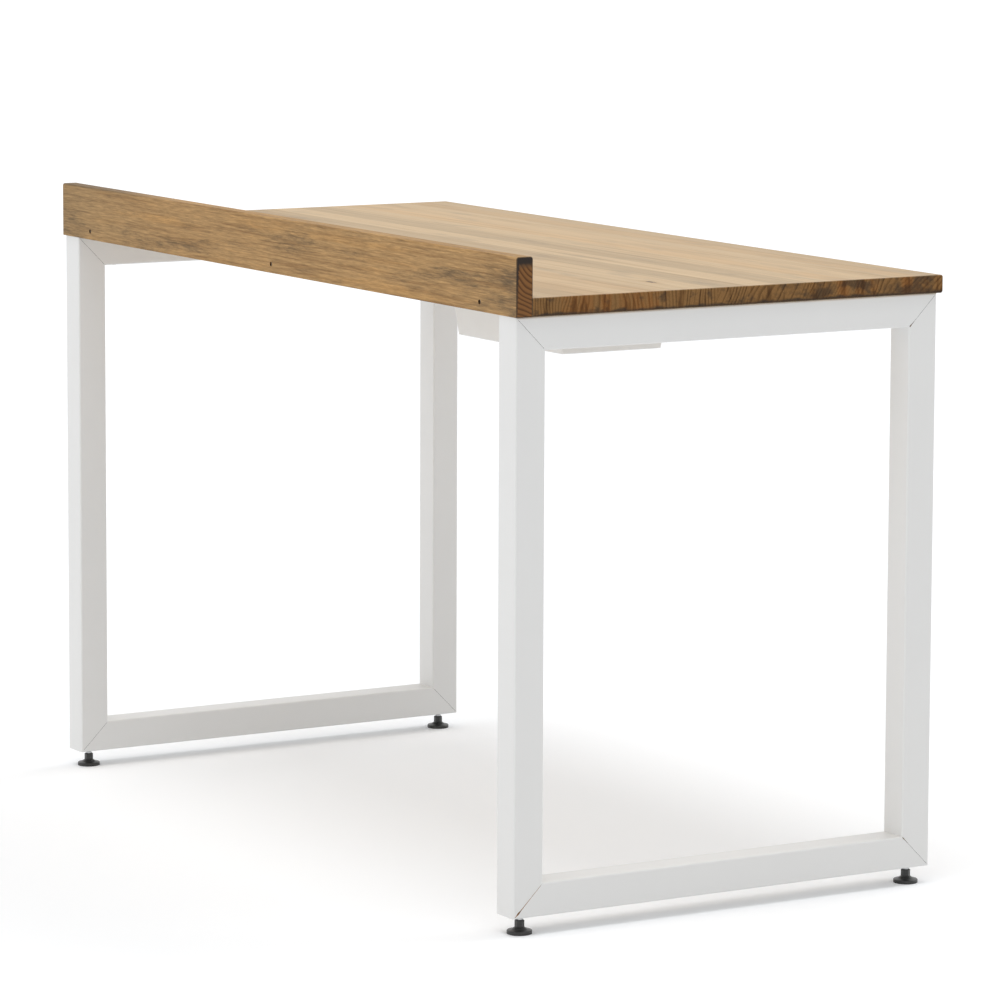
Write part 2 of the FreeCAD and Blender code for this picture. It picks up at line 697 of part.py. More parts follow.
def add_drawer_rim(body):
    """Add the rim about the tray's mouth, its front lip and the shoulders that meet the stops."""
    outline = make_sketch(body, "rim_outline", "XY_Plane")
    side = "(drawer_width / 2 + drawer_rim_width)"
    front = "(-drawer_depth / 2 - drawer_front_lip)"
    back = "(drawer_depth / 2)"
    draw_rectangle(outline, f"-{side}", side, front, back)
    mid_wall_width = "(drawer_width - drawer_wall)"
    mid_wall_depth = "(drawer_depth - drawer_wall)"
    draw_rounded_rectangle(outline, mid_wall_width, mid_wall_depth, "drawer_edge_radius")
    rim = make_pad(body, "rim", outline, "drawer_rim_thickness", backwards=True)
    foremost = rim.Shape.BoundBox.YMin + TOLERANCE

    def is_lip_corner(edge):
        return runs_along(edge, Z_AXIS) and edge.Vertexes[0].Y < foremost

    make_fillet(body, "lip_corners", rim, is_lip_corner, "drawer_lip_radius")
    shoulders = make_sketch(body, "shoulder_outlines", "XY_Plane")
    inner = "(drawer_width / 2)"
    outer = f"({side} + drawer_shoulder_width)"
    start = f"({back} - drawer_shoulder_length)"
    draw_rectangle(shoulders, inner, outer, start, back)
    draw_rectangle(shoulders, f"-{outer}", f"-{inner}", start, back)
    make_pad(body, "shoulders", shoulders, "drawer_rim_thickness", backwards=True)


def make_drawer_runner(label, side):
    """Make a folded runner: a flange under the top, a web, and a lip below the drawer's rim.

    Its own origin is at the rear of the rail, on the web's inner face, against the top.
    """
    body = make_body(label)

    def outwards(distance):
        return f"{side} * ({distance})"

    lip_edge = outwards("-runner_lip_width")
    web = outwards("runner_sheet")
    flange_edge = outwards("runner_sheet + runner_flange_width")
    lip_top = f"(runner_sheet - {RUNNER_DROP})"
    section = make_sketch(body, "section", "XZ_Plane")
    corners = [
        (lip_edge, f"-{RUNNER_DROP}"),
        (web, f"-{RUNNER_DROP}"),
        (web, "-runner_sheet"),
        (flange_edge, "-runner_sheet"),
        (flange_edge, "0"),
        ("0", "0"),
        ("0", lip_top),
        (lip_edge, lip_top),
    ]
    draw_polygon(section, corners)
    make_pad(body, "rail", section, "runner_length")
    rear_stop = make_sketch(body, "rear_stop_outline", "XZ_Plane")
    draw_rectangle(rear_stop, lip_edge, web, f"-{RUNNER_DROP}", "0")
    make_pad(body, "rear_stop", rear_stop, "runner_sheet", backwards=True)
    front_stop = make_sketch(body, "front_stop_outline", "XZ_Plane")
    front_stop.setExpression("AttachmentOffset.Base.z", cells("runner_length"))
    stop_edge = outwards("-drawer_shoulder_width")
    draw_rectangle(front_stop, stop_edge, "0", lip_top, f"{lip_top} + drawer_rim_thickness")
    make_pad(body, "front_stop", front_stop, "runner_stop_length", backwards=True)
    holes = make_sketch(body, "screw_holes", "XY_Plane")
    across = outwards("runner_sheet + runner_flange_width / 2")
    for along in ("runner_screw_end_inset", "(runner_length - runner_screw_end_inset)"):
        draw_circle(holes, across, f"-{along}", "runner_screw_diameter + 2 * bar_hole_clearance")
    make_pocket(body, "screw_hole_cuts", holes, "2 * runner_sheet")
    place(body, outwards(RUNNER_WEB_X), RUNNER_REAR_Y, TOP_UNDERSIDE)


def check_model():
    """Stop if any object failed, or if a sub-part has no sound solid."""
    document.recompute()
    for item in document.Objects:
        if "Invalid" in item.State or "Error" in item.State:
            raise RuntimeError(f"{item.Label} failed: {item.State}")
    for body in sub_parts():
        if body.Shape.isNull() or not body.Shape.isValid() or not body.Shape.Solids:
            raise RuntimeError(f"{body.Label} has no sound solid")


def sub_parts():
    """Return the bodies in the order they were made."""
    return [item for item in document.Objects if item.TypeId == "PartDesign::Body"]


def export_parts():
    """Write each sub-part to its own file."""
    os.makedirs("parts", exist_ok=True)
    for body in sub_parts():
        body.Shape.exportStep(f"parts/{body.Label}.step")


make_sheet()
make_top_panel()
make_rear_board()
make_end_frames()
make_feet()
make_drawer_tray()
for runner_side_name, runner_side in SIDES.items():
    make_drawer_runner(f"{runner_side_name}_drawer_runner", runner_side)
make_top_screws()
make_board_screws()
make_runner_screws()
check_model()
export_parts()
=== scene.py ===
"""Visual model of a sitting-height writing desk.

The desk has an edge-glued pine top with an upstand board at the rear, two closed end frames of
white square tube on black levelling feet, and a shallow white drawer under the top.  The solids
come from the frame, and this script dresses them and adds their finest parts: screw threads, screw
heads with their recesses, and the seams of the mitred tubes.  Lengths are in metres.
"""

import logging
import math
from dataclasses import dataclass
from enum import Enum
from functools import cached_property, reduce
from itertools import product
from typing import Optional, Sequence, Union

import bmesh
import bpy
from mathutils import Matrix, Vector


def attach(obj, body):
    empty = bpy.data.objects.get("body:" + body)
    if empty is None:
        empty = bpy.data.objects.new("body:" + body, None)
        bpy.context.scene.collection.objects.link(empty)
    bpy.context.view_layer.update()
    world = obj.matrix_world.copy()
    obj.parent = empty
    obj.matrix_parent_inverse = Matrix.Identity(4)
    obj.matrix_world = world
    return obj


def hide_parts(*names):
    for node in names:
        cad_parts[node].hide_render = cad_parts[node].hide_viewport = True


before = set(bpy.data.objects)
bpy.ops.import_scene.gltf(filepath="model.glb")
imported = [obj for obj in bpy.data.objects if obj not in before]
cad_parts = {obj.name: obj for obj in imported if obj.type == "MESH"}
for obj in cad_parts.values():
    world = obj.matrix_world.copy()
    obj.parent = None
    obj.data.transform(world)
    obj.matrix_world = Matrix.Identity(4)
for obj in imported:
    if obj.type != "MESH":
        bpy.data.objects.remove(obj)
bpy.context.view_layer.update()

LOG = logging.getLogger("writing_desk")

Pair = tuple[float, float]
Triple = tuple[float, float, float]
Mark = tuple[float, float, float, float]
Colour = Triple
Piece = bpy.types.Object
Material = bpy.types.Material
Socket = bpy.types.NodeSocket
Sockets = tuple[Socket, ...]
Value = Union[float, Socket]
Tint = Union[Colour, Socket]

MM = 0.001
SHARP = math.radians(32)
ACROSS = Vector((1.0, 0.0, 0.0))
FORWARD = Vector((0.0, -1.0, 0.0))
UP = Vector((0.0, 0.0, 1.0))


class Side(Enum):
    """The two ends of the desk, as a person who sits at it names them."""

    LEFT = "left"
    RIGHT = "right"


class End(Enum):
    """The two ends of an end frame."""

    FRONT = "front"
    REAR = "rear"


class Level(Enum):
    """The upper and the lower corners of an end frame."""

    TOP = "top"
    BOTTOM = "bottom"


# ---- shader graphs


@dataclass(frozen=True)
class Weave:
    """A noise: its cycles per millimetre along X, Y and Z, and its finer layers."""

    scale: Triple
    detail: float = 2.0
    roughness: float = 0.5


@dataclass(frozen=True)
class Veil:
    """How far one finish covers another: not at all at low, and its most at high."""

    low: float
    high: float
    most: float = 1.0


@dataclass(frozen=True)
class YearRing:
    """Where the late wood of a ring rises, is darkest and falls off, in shares of the ring."""

    rise: float
    full: float
    fall: float


class Graph:
    """A material's or a world's shader, and short calls for its nodes."""

    def __init__(self, owner: Union[Material, bpy.types.World], output: str = "OutputMaterial") -> None:
        """Starts an empty node tree.

        Args:
            owner: The material or the world.
            output: The type of its output node.
        """
        owner.use_nodes = True
        self.owner = owner
        self.tree = owner.node_tree
        self.tree.nodes.clear()
        self.output = self.add(output)

    def add(
        self, kind: str, values: Optional[dict[Union[int, str], object]] = None, **settings: object
    ) -> bpy.types.Node:
        """Adds a node and feeds its inputs.

        Args:
            kind: The node's type without its ShaderNode prefix.
            values: What goes into its inputs, by their numbers or names.
            **settings: Properties of the node.

        Returns:
            The new node.
        """
        node = self.tree.nodes.new("ShaderNode" + kind)
        for name, value in settings.items():
            setattr(node, name, value)
        for key, value in (values or {}).items():
            self.feed(node.inputs[key], value)
        return node

    def feed(self, socket: Socket, value: Union[Value, Tint, Vector]) -> None:
        """Links a socket to an input, or sets the input's own value.

        Args:
            socket: The input.
            value: A socket, a number, a colour or a vector.
        """
        if isinstance(value, Socket):
            self.tree.links.new(value, socket)
        elif socket.type == "RGBA":
            socket.default_value = (*value, 1.0)
        else:
            socket.default_value = value

    def calc(self, operation: str, *values: Value, clamp: bool = False) -> Socket:
        """A Math node with its one to three inputs; clamp holds the result between 0 and 1."""
        return self.add("Math", dict(enumerate(values)), operation=operation, use_clamp=clamp).outputs[0]

    def plus(self, first: Value, second: Value) -> Socket:
        """The sum of two numbers."""
        return self.calc("ADD", first, second)

    def minus(self, first: Value, second: Value) -> Socket:
        """The first number less the second."""
        return self.calc("SUBTRACT", first, second)

    def times(self, first: Value, second: Value) -> Socket:
        """The product of two numbers."""
        return self.calc("MULTIPLY", first, second)

    def vector(self, operation: str, *values: object) -> Socket:
        """A Vector Math node with its inputs, the second a number for SCALE."""
        keys = (0, "Scale") if operation == "SCALE" else (0, 1)
        return self.add("VectorMath", dict(zip(keys, values)), operation=operation).outputs[0]

    def line(self, value: Value, slope: Value, start: Value) -> Socket:
        """The start plus the slope times the value."""
        return self.calc("MULTIPLY_ADD", value, slope, start)

    def vary(self, noise: Value, swing: Value, middle: Value = 1.0) -> Socket:
        """A middle that a noise swings by half the swing to each side."""
        return self.line(self.minus(noise, 0.5), swing, middle)

    def hypotenuse(self, first: Value, second: Value) -> Socket:
        """The distance that two offsets at a right angle make."""
        squares = [self.calc("POWER", offset, 2.0) for offset in (first, second)]
        return self.calc("SQRT", self.plus(*squares))

    @cached_property
    def place(self) -> Socket:
        """The point's place in the desk's frame, in millimetres."""
        return self.vector("SCALE", self.add("TexCoord").outputs["Object"], 1.0 / MM)

    def end_grain(self, edge: Veil = Veil(0.35, 0.85)) -> Socket:
        """1 on the faces that look along the timber and 0 on those beside it, soft over the edge."""
        facing = self.split(self.add("TexCoord").outputs["Normal"])
        return self.veil(self.calc("ABSOLUTE", facing[0]), edge)

    def seen(self) -> Socket:
        """Finds the rays that the eye sees by.

        Returns:
            1 for a straight or mirrored ray or one through glass, and else 0.
        """
        path = self.add("LightPath").outputs
        direct = self.calc("MAXIMUM", path["Is Camera Ray"], path["Is Glossy Ray"])
        return self.calc("MAXIMUM", direct, path["Is Transmission Ray"])

    def split(self, vector: Socket) -> Sockets:
        """The three numbers of a vector."""
        return tuple(self.add("SeparateXYZ", {0: vector}).outputs)

    def join(self, x: Value, y: Value, z: Value) -> Socket:
        """A vector of three numbers."""
        return self.add("CombineXYZ", {0: x, 1: y, 2: z}).outputs[0]

    def span(self, value: Value, low: float, high: float) -> Socket:
        """Makes a smooth step.

        Args:
            value: The number that is judged.
            low: Where the result is 0.
            high: Where the result is 1, which may be less than low.

        Returns:
            A number from 0 to 1.
        """
        values = (value, low, high, 0.0, 1.0) if low < high else (value, high, low, 1.0, 0.0)
        node = self.add("MapRange", dict(enumerate(values)), interpolation_type="SMOOTHSTEP", clamp=True)
        return node.outputs[0]

    def veil(self, value: Value, veil: Veil) -> Socket:
        """How far a veil covers, by the value that it follows."""
        return self.times(self.span(value, veil.low, veil.high), veil.most)

    def mark(self, across: Value, up: Value, centre: Pair, reach: Pair) -> Socket:
        """A soft oval mark.

        Args:
            across: The place along one axis.
            up: The place along the other.
            centre: The middle of the mark.
            reach: Its half widths.

        Returns:
            1 in the middle and 0 at the rim.
        """
        off = [
            self.calc("DIVIDE", self.minus(value, middle), half)
            for value, middle, half in zip((across, up), centre, reach)
        ]
        return self.span(self.plus(*[self.times(part, part) for part in off]), 1.0, 0.0)

    def marks(self, across: Value, up: Value, marks: Sequence[Mark]) -> Value:
        """The sum of some marks, each given by its middle and its half widths."""
        return reduce(self.plus, [self.mark(across, up, mark[:2], mark[2:]) for mark in marks])

    def noise(self, weave: Weave, output: str = "Fac", place: Optional[Socket] = None) -> Socket:
        """A noise texture.

        Args:
            weave: The noise.
            output: "Fac" for one number or "Color" for three.
            place: Where it is read, if that isn't the point's own place.

        Returns:
            The noise, about 0.5 in its middle.
        """
        scaled = self.vector("MULTIPLY", self.place if place is None else place, weave.scale)
        values = {"Vector": scaled, "Scale": 1.0, "Detail": weave.detail, "Roughness": weave.roughness}
        return self.add("TexNoise", values).outputs[output]

    def sway(self, weave: Weave, swing: float = 1.0) -> Sockets:
        """Three numbers that a noise swings about 0, by half the swing to each side."""
        about = self.vector("SUBTRACT", self.noise(weave, "Color"), (0.5, 0.5, 0.5))
        return self.split(self.vector("SCALE", about, swing))

    def late_wood(self, count: Value, ring: YearRing) -> Socket:
        """1 in the dark late wood and 0 in the early wood, by the number of rings from the pith."""
        phase = self.calc("FRACT", count)
        return self.times(self.span(phase, ring.rise, ring.full), self.span(phase, 1.0, ring.fall))

    def chance(self, number: Value) -> Sockets:
        """Three random numbers from 0 to 1 that belong to a number."""
        return self.split(self.add("TexWhiteNoise", {"W": number}, noise_dimensions="1D").outputs["Color"])

    def blend(self, factor: Value, first: Tint, second: Tint, mode: str = "MIX") -> Socket:
        """Mixes two colours: a factor of 0 gives the first and 1 the second."""
        values = {0: factor, 6: first, 7: second}
        return self.add("Mix", values, data_type="RGBA", blend_type=mode).outputs[2]

    def cover(self, under: Tint, over: Tint, value: Value, veil: Veil) -> Socket:
        """Lays one colour over another by a veil and the value that it follows."""
        return self.blend(self.veil(value, veil), under, over)

    def shade(self, colour: Tint, tone: Value) -> Socket:
        """A colour times one number."""
        return self.blend(1.0, colour, self.join(tone, tone, tone), "MULTIPLY")

    def steps(self, value: Value, edges: Sequence[float], levels: Sequence[float]) -> Socket:
        """A staircase of constant levels.

        Args:
            value: The number that is judged, from 0 to 1.
            edges: Where each level starts, the first at 0.
            levels: The levels, from 0 to 1.

        Returns:
            The level.
        """
        node = self.add("ValToRGB")
        node.color_ramp.interpolation = "CONSTANT"
        points = node.color_ramp.elements
        while len(points) > 1:
            points.remove(points[-1])
        points[0].position = edges[0]
        points[0].color = (levels[0],) * 3 + (1.0,)
        for edge, level in list(zip(edges, levels))[1:]:
            points.new(edge).color = (level,) * 3 + (1.0,)
        self.feed(node.inputs[0], value)
        return node.outputs[0]

    def bump(self, height: Value, depth: float, strength: float) -> Socket:
        """The surface direction that a relief bends, with its full depth in metres."""
        return self.add("Bump", {"Strength": strength, "Distance": depth, "Height": height}).outputs[0]

    def surface(self, **inputs: object) -> Material:
        """Ends the graph with a Principled shader.

        Args:
            **inputs: The shader's inputs, with underscores for spaces.

        Returns:
            The material.
        """
        node = self.add("BsdfPrincipled", {name.replace("_", " "): value for name, value in inputs.items()})
        self.feed(self.output.inputs[0], node.outputs[0])
        return self.owner


def new_graph(name: str) -> Graph:
    """Starts a new material's shader."""
    return Graph(bpy.data.materials.new(name))


def dress(node: str, material: Material) -> None:
    """Gives a solid of the frame its material.

    Args:
        node: The solid's name.
        material: The material.
    """
    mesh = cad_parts[node].data
    if not mesh.materials:
        mesh.materials.append(material)
    for index in range(len(mesh.materials)):
        mesh.materials[index] = material


# ---- meshes


def stand(name: str, data: bpy.types.ID) -> Piece:
    """Puts an object in the scene.

    Args:
        name: Its name.
        data: Its mesh, its light or its camera.

    Returns:
        The object.
    """
    piece = bpy.data.objects.new(name, data)
    bpy.context.scene.collection.objects.link(piece)
    return piece


def skin(name: str, rings: Sequence[Sequence[Vector]], material: Material) -> Piece:
    """Makes a closed piece from rings of points.

    Args:
        name: The piece's name.
        rings: Loops of as many points each, in order along the piece.
        material: Its material.

    Returns:
        The piece, at the origin of the desk's frame.
    """
    mesh = bpy.data.meshes.new(name)
    shape = bmesh.new()
    loops = [[shape.verts.new(point) for point in ring] for ring in rings]
    for lower, upper in zip(loops, loops[1:]):
        for index in range(len(lower)):
            after = (index + 1) % len(lower)
            shape.faces.new((lower[index], lower[after], upper[after], upper[index]))
    shape.faces.new(list(reversed(loops[0])))
    shape.faces.new(loops[-1])
    bmesh.ops.recalc_face_normals(shape, faces=shape.faces)
    for face in shape.faces:
        face.smooth = len(face.verts) == 4
    for edge in shape.edges:
        if len(edge.link_faces) == 2 and edge.calc_face_angle() > SHARP:
            edge.smooth = False
    shape.to_mesh(mesh)
    shape.free()
    mesh.materials.append(material)
    return stand(name, mesh)


def join_pieces(name: str, pieces: Sequence[Piece]) -> Piece:
    """Joins some pieces of one material into one.

    Args:
        name: The name of the result.
        pieces: The pieces, which are used up.

    Returns:
        The joined piece.
    """
    shape = bmesh.new()
    for piece in pieces:
        shape.from_mesh(piece.data)
    mesh = bpy.data.meshes.new(name)
    shape.to_mesh(mesh)
    shape.free()
    mesh.materials.append(pieces[0].data.materials[0])
    for piece in pieces:
        bpy.data.objects.remove(piece)
    return stand(name, mesh)


@dataclass(frozen=True)
class Screw:
    """A screw with a domed head and a cross recess.  Sizes are in millimetres."""

    head_diameter: float
    head_height: float
    diameter: float
    length: float
    sides: int = 24

    # the recess and the dome, in shares of the head's radius and height
    arm_reach: float = 0.58
    arm_half_width: float = 0.16
    floor_reach: float = 0.55
    floor_height: float = 0.65
    rim_height: float = 0.06
    dome: tuple[Pair, ...] = ((0.80, 0.16), (0.95, 0.38), (1.0, 0.62), (1.0, 1.0))
    tip: float = 0.15

    def cross(self, turn: float) -> float:
        """How far the recess reaches from the axis, as a share of the head's radius."""
        arm = abs((turn + math.pi / 4) % (math.pi / 2) - math.pi / 4)
        return min(self.arm_reach / math.cos(arm), self.arm_half_width / max(math.sin(arm), 0.001))

    def build(self, name: str, seat: Vector, ahead: Vector, material: Material) -> Piece:
        """Makes the screw.

        Args:
            name: The piece's name.
            seat: The middle of the head's underside, in metres.
            ahead: The way its point looks.
            material: Its material.

        Returns:
            The piece.
        """
        radius, height = self.head_diameter / 2, self.head_height
        shank = self.diameter / 2
        turns = [2 * math.pi * index / self.sides for index in range(self.sides)]
        slots = [self.cross(turn) * radius for turn in turns]
        profile = [
            ([self.floor_reach * slot for slot in slots], self.floor_height * height - height),
            (slots, self.rim_height * height - height),
            *(([wide * radius] * self.sides, high * height - height) for wide, high in self.dome),
            ([shank] * self.sides, 0.0),
            ([shank] * self.sides, self.length - shank),
            ([self.tip * shank] * self.sides, self.length),
        ]
        side = ahead.orthogonal().normalized()
        other = ahead.cross(side)
        rings = [
            [
                seat + MM * (level * ahead + reach * (math.cos(turn) * side + math.sin(turn) * other))
                for turn, reach in zip(turns, reaches)
            ]
            for reaches, level in profile
        ]
        return skin(name, rings, material)


@dataclass(frozen=True)
class ThreadedStud:
    """The stud of a foot, with its coarse metric thread.  Sizes are in millimetres."""

    diameter: float = 8.0
    pitch: float = 1.25
    depth: float = 0.60
    bottom: float = 9.5
    thread_start: float = 17.5
    top: float = 41.5
    chamfer: float = 1.0
    flank_slope: float = 1.35
    crest: float = 0.15
    sides: int = 28
    steps: int = 6

    def reach(self, turn: float, level: float) -> float:
        """Shapes the thread.

        Args:
            turn: The angle round the axis, in radians.
            level: The height.

        Returns:
            The thread's radius there.
        """
        share = (level / self.pitch - turn / (2 * math.pi)) % 1.0
        flank = min(1.0, max(0.0, self.flank_slope * abs(2.0 * share - 1.0) - self.crest))
        limit = self.diameter / 2 - max(0.0, level - (self.top - self.chamfer))
        return min(self.diameter / 2 - self.depth * flank, limit)

    def build(self, name: str, x: float, y: float, material: Material) -> Piece:
        """Makes the stud over a place on the floor.

        Args:
            name: The piece's name.
            x: Its place along X, in millimetres.
            y: Its place along Y.
            material: Its material.

        Returns:
            The piece.
        """
        core = self.diameter / 2 - self.depth
        turns = [2 * math.pi * index / self.sides for index in range(self.sides)]
        count = round((self.top - self.thread_start) / self.pitch * self.steps)
        rows = [([core] * self.sides, level) for level in (self.bottom, self.thread_start)]
        for step in range(1, count + 1):
            level = self.thread_start + (self.top - self.thread_start) * step / count
            rows.append(([self.reach(turn, level) for turn in turns], level))
        rings = [
            [
                MM * Vector((x + reach * math.cos(turn), y + reach * math.sin(turn), level))
                for turn, reach in zip(turns, reaches)
            ]
            for reaches, level in rows
        ]
        return skin(name, rings, material)


# ---- finishes, with their places in millimetres and the depth of their relief in metres


@dataclass(frozen=True)
class OiledPineTop:
    """Edge-glued staves of pine: pale and oiled on the face, dark where the ends took up stain, with painted
    shade along the ends' lower edge.
    """

    face_early: Colour = (0.560, 0.412, 0.245)
    face_late: Colour = (0.375, 0.235, 0.115)
    face_grey: Colour = (0.300, 0.235, 0.160)
    face_warm: Colour = (0.560, 0.365, 0.185)
    end_early: Colour = (0.250, 0.133, 0.049)
    end_late: Colour = (0.050, 0.023, 0.009)
    end_grey: Colour = (0.040, 0.032, 0.025)
    end_orange: Colour = (0.330, 0.120, 0.028)
    knot: Colour = (0.060, 0.036, 0.020)
    roughness: float = 0.46
    fibre_roughness: float = 0.16
    face_gloss: float = 0.24
    end_gloss: float = 0.06

    # the staves, from the rear edge forwards, and their random numbers' seeds
    rear: float = 278.0
    depth: float = 578.0
    mid_height: float = 739.0
    staves: tuple[float, ...] = (36, 30, 35, 30, 34, 33, 42, 44, 38, 46, 31, 29, 36, 31, 28, 33)
    seeds: Pair = (97.3, 41.9)

    # the year rings, upright in the rear staves and slanting in the front ones
    slanting: Veil = Veil(0.34, 0.62)
    slant: float = 0.62
    lean_swing: float = 0.30
    more_lean_swing: float = 0.55
    pith_away: float = 280.0
    slant_nearer: float = -130.0
    pith_swing: float = 120.0
    ring_width: float = 3.6
    ring_widening: float = 2.8
    ring: YearRing = YearRing(0.30, 0.82, 0.88)
    wandering: float = 7.0
    drift: Weave = Weave((0.0016, 0.010, 0.010))
    unevenness: Weave = Weave((1.0, 1.0, 1.0), 0.0)
    uneven: Veil = Veil(0.22, 0.62)

    # the face
    fibre: Weave = Weave((0.014, 0.55, 0.55), 5.0, 0.68)
    streak: Weave = Weave((0.0024, 0.10, 0.10), 5.0, 0.64)
    cloud: Weave = Weave((0.007, 0.034, 0.034), 4.0, 0.6)
    ring_veil: float = 0.42
    warm_staves: Veil = Veil(0.45, 1.0, 0.55)
    streaks: Veil = Veil(0.48, 0.72, 0.62)
    clouds: Veil = Veil(0.52, 0.74, 0.45)
    stave_tone: float = 0.95
    stave_swing: float = 0.24
    fibre_swing: float = 0.60
    relief: float = 0.00006
    relief_strength: float = 0.5
    ring_relief: float = 0.4

    # the knot, its halo and its crack
    knot_place: Pair = (-507.0, 59.0)
    ragged: Weave = Weave((0.16, 0.40, 0.40), 4.0, 0.65)
    ragged_swing: Pair = (26.0, 10.0)
    halo_reach: Pair = (34.0, 11.0)
    halo_veil: float = 0.40
    crack_reach: Pair = (13.0, 3.4)
    crack: Veil = Veil(0.0, 0.4, 0.90)

    # the ends
    pore: Weave = Weave((0.4, 1.3, 0.5), 3.0, 0.7)
    band: Weave = Weave((0.0, 0.075, 0.012), 4.0, 0.65)
    patch: Weave = Weave((0.01, 0.036, 0.050), 3.0, 0.6)
    banded: Veil = Veil(0.36, 0.60)
    least_late: float = 0.40
    more_late: float = 0.45
    orange_staves: Veil = Veil(0.35, 0.9)
    orange_bands: Veil = Veil(0.40, 0.62)
    orange: float = 0.55
    towards_front: Veil = Veil(60.0, -200.0, 0.10)
    stain: Veil = Veil(0.52, 0.68, 0.66)
    dark_bands: Veil = Veil(0.50, 0.66, 0.62)
    # the ends' lower edge is painted shade where the top sits on the frame, and the swing makes its rim
    # ragged
    painted_shade_swing: float = 12.0
    painted_shade_lower_edge: Veil = Veil(732.6, 729.2, 0.85)
    pore_swing: float = 1.1

    def stave_middle(self, g: Graph, y: Socket) -> Socket:
        """Finds the stave at a place.

        Args:
            g: The graph.
            y: The place along Y.

        Returns:
            The stave's middle, as a share of the depth from the rear edge.
        """
        share = g.calc("DIVIDE", g.minus(self.rear, y), self.depth, clamp=True)
        edges, middles, at = [], [], 0.0
        total = sum(self.staves)
        for width in self.staves:
            edges.append(at / total)
            middles.append((at + width / 2) / total)
            at += width
        return g.steps(share, edges, middles)

    def late(self, g: Graph, middle: Socket) -> Socket:
        """The late wood of the rings, which lie differently in each stave.

        Args:
            g: The graph.
            middle: The stave's middle, as a share of the depth.

        Returns:
            1 in the late wood and 0 in the early wood.
        """
        _, y, z = g.split(g.place)
        chance = g.chance(g.times(middle, self.seeds[0]))
        sway_x, sway_y, sway_z = g.sway(self.drift, self.wandering)
        slanted = g.veil(middle, self.slanting)
        swing = g.line(slanted, self.more_lean_swing, self.lean_swing)
        lean = g.vary(chance[0], swing, g.times(slanted, self.slant))
        away = g.line(chance[1], self.pith_swing, g.line(slanted, self.slant_nearer, self.pith_away))
        pith_y = g.times(g.calc("COSINE", lean), away)
        pith_z = g.times(g.calc("SINE", lean), away)
        centre = g.minus(self.rear, g.times(middle, self.depth))
        off_y = g.minus(g.minus(y, centre), pith_y)
        off_z = g.minus(g.minus(z, self.mid_height), pith_z)
        radius = g.hypotenuse(g.plus(off_y, sway_y), g.plus(off_z, sway_z))
        width = g.line(chance[2], self.ring_widening, self.ring_width)
        count = g.plus(g.calc("DIVIDE", radius, width), sway_x)
        number = g.join(g.calc("FLOOR", count), middle, 0.0)
        strength = g.veil(g.noise(self.unevenness, place=number), self.uneven)
        return g.times(g.late_wood(count, self.ring), strength)

    def face(self, g: Graph, late: Socket, fibre: Socket, chance: Sockets) -> Socket:
        """The colour of the face.

        Args:
            g: The graph.
            late: The late wood.
            fibre: The fibre's noise.
            chance: The stave's random numbers.

        Returns:
            The colour.
        """
        x, y, _ = g.split(g.place)
        face = g.blend(g.times(late, self.ring_veil), self.face_early, self.face_late)
        face = g.cover(face, self.face_warm, chance[1], self.warm_staves)
        face = g.cover(face, self.face_late, g.noise(self.streak), self.streaks)
        face = g.cover(face, self.face_grey, g.noise(self.cloud), self.clouds)
        tone = g.vary(chance[0], self.stave_swing, self.stave_tone)
        face = g.shade(face, g.vary(fibre, self.fibre_swing, tone))
        ragged = g.sway(self.ragged)
        knot_x, knot_y = [g.line(*axis) for axis in zip(ragged, self.ragged_swing, (x, y))]
        halo = g.mark(knot_x, knot_y, self.knot_place, self.halo_reach)
        face = g.blend(g.times(halo, self.halo_veil), face, self.face_late)
        crack = g.mark(knot_x, knot_y, self.knot_place, self.crack_reach)
        return g.cover(face, self.knot, crack, self.crack)

    def end(self, g: Graph, late: Socket, chance: Sockets) -> Socket:
        """The colour of the sawn ends.

        Args:
            g: The graph.
            late: The late wood.
            chance: The stave's random numbers.

        Returns:
            The colour.
        """
        _, y, z = g.split(g.place)
        bands = g.noise(self.band)
        depth = g.line(g.veil(bands, self.banded), self.more_late, self.least_late)
        end = g.blend(g.times(late, depth), self.end_early, self.end_late)
        orange = g.times(g.veil(chance[1], self.orange_staves), g.veil(bands, self.orange_bands))
        end = g.blend(g.times(orange, self.orange), end, self.end_orange)
        patch = g.noise(self.patch)
        stained = g.plus(patch, g.veil(y, self.towards_front))
        end = g.cover(end, self.end_grey, stained, self.stain)
        end = g.cover(end, self.end_late, bands, self.dark_bands)
        # painted shade along the lower edge of the ends, over the frame
        end = g.cover(end, self.end_grey, g.vary(patch, self.painted_shade_swing, z), self.painted_shade_lower_edge)
        return g.shade(end, g.vary(g.noise(self.pore), self.pore_swing))

    def make(self) -> Material:
        """Builds the material.

        Returns:
            The material.
        """
        g = new_graph("oiled_pine")
        middle = self.stave_middle(g, g.split(g.place)[1])
        late = self.late(g, middle)
        fibre = g.noise(self.fibre)
        chance = g.chance(g.times(middle, self.seeds[1]))
        is_end = g.end_grain()
        face, end = self.face(g, late, fibre, chance), self.end(g, late, chance)
        relief = g.plus(g.times(late, self.ring_relief), fibre)
        return g.surface(
            Base_Color=g.blend(is_end, face, end),
            Roughness=g.line(fibre, self.fibre_roughness, self.roughness),
            Specular_IOR_Level=g.line(is_end, self.end_gloss - self.face_gloss, self.face_gloss),
            Normal=g.bump(relief, self.relief, self.relief_strength),
        )


